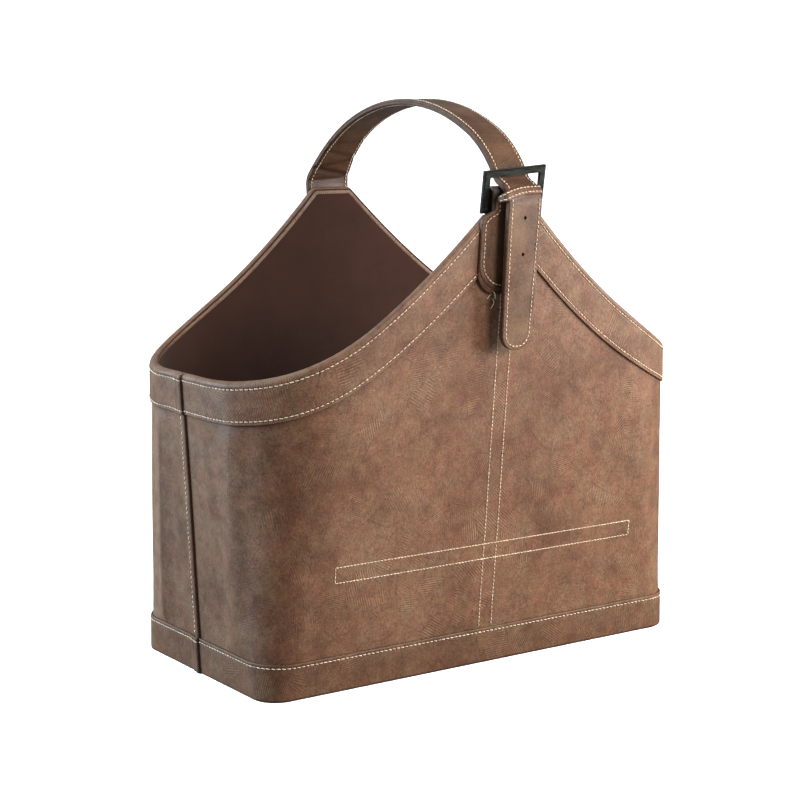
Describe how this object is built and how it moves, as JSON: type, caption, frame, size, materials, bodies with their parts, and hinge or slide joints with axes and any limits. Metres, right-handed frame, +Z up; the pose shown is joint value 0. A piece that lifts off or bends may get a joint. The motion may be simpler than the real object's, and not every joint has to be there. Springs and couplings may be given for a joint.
{
  "type": "magazine basket",
  "caption": "Leather-covered magazine basket with flared soft-cornered sides rising to a peak, lined inside, with a buckled strap handle over the top.",
  "frame": {"origin": "on the floor, under the middle of the base", "axes": "+X along the long face, the front face with the hanging strap tail toward -Y, +Z up"},
  "size_m": [0.4096, 0.2603, 0.4174],
  "materials": {
    "board": "raw grey board",
    "lining": "dark brown matte suede cloth",
    "sole": "dark smooth imitation leather",
    "ring_metal": "dark gunmetal",
    "loop_leather": "dark brown imitation leather",
    "strap_leather": "mottled brown imitation leather",
    "band_leather": "mottled brown imitation leather, stitched",
    "cover_leather": "mottled brown imitation leather with fine etched lines"
  },
  "bodies": {
    "basket": {"base_cover": "sole", "base_board": "board", "floor_lining": "lining", "front_board": "board", "rear_board": "board", "left_end_board": "board", "right_end_board": "board", "front_lining": "lining", "rear_lining": "lining", "front_cover": "cover_leather", "rear_cover": "cover_leather", "front_top_band": "band_leather", "rear_top_band": "band_leather", "front_base_band": "band_leather", "rear_base_band": "band_leather", "strap_face": "strap_leather", "strap_backing": "strap_leather", "keeper_loop": "strap_leather", "buckle_loop": "loop_leather", "buckle_tab": "strap_leather"},
    "tail": {"tail_face": "strap_leather", "tail_backing": "strap_leather"},
    "ring": {"buckle_ring": "ring_metal"}
  },
  "joints": [
    {"name": "tail_lift", "type": "hinge", "parent": "basket", "child": "tail", "pos_m": [0, -0.13281, 0.33059], "axis": [-1, 0, 0], "range_deg": [0, 75], "stiffness_Nm_per_rad": 0.03},
    {"name": "ring_swing", "type": "hinge", "parent": "basket", "child": "ring", "pos_m": [0, -0.11731, 0.34198], "axis": [0.9973, -0.0165, 0.0714], "range_deg": [-5, 55]}
  ]
}
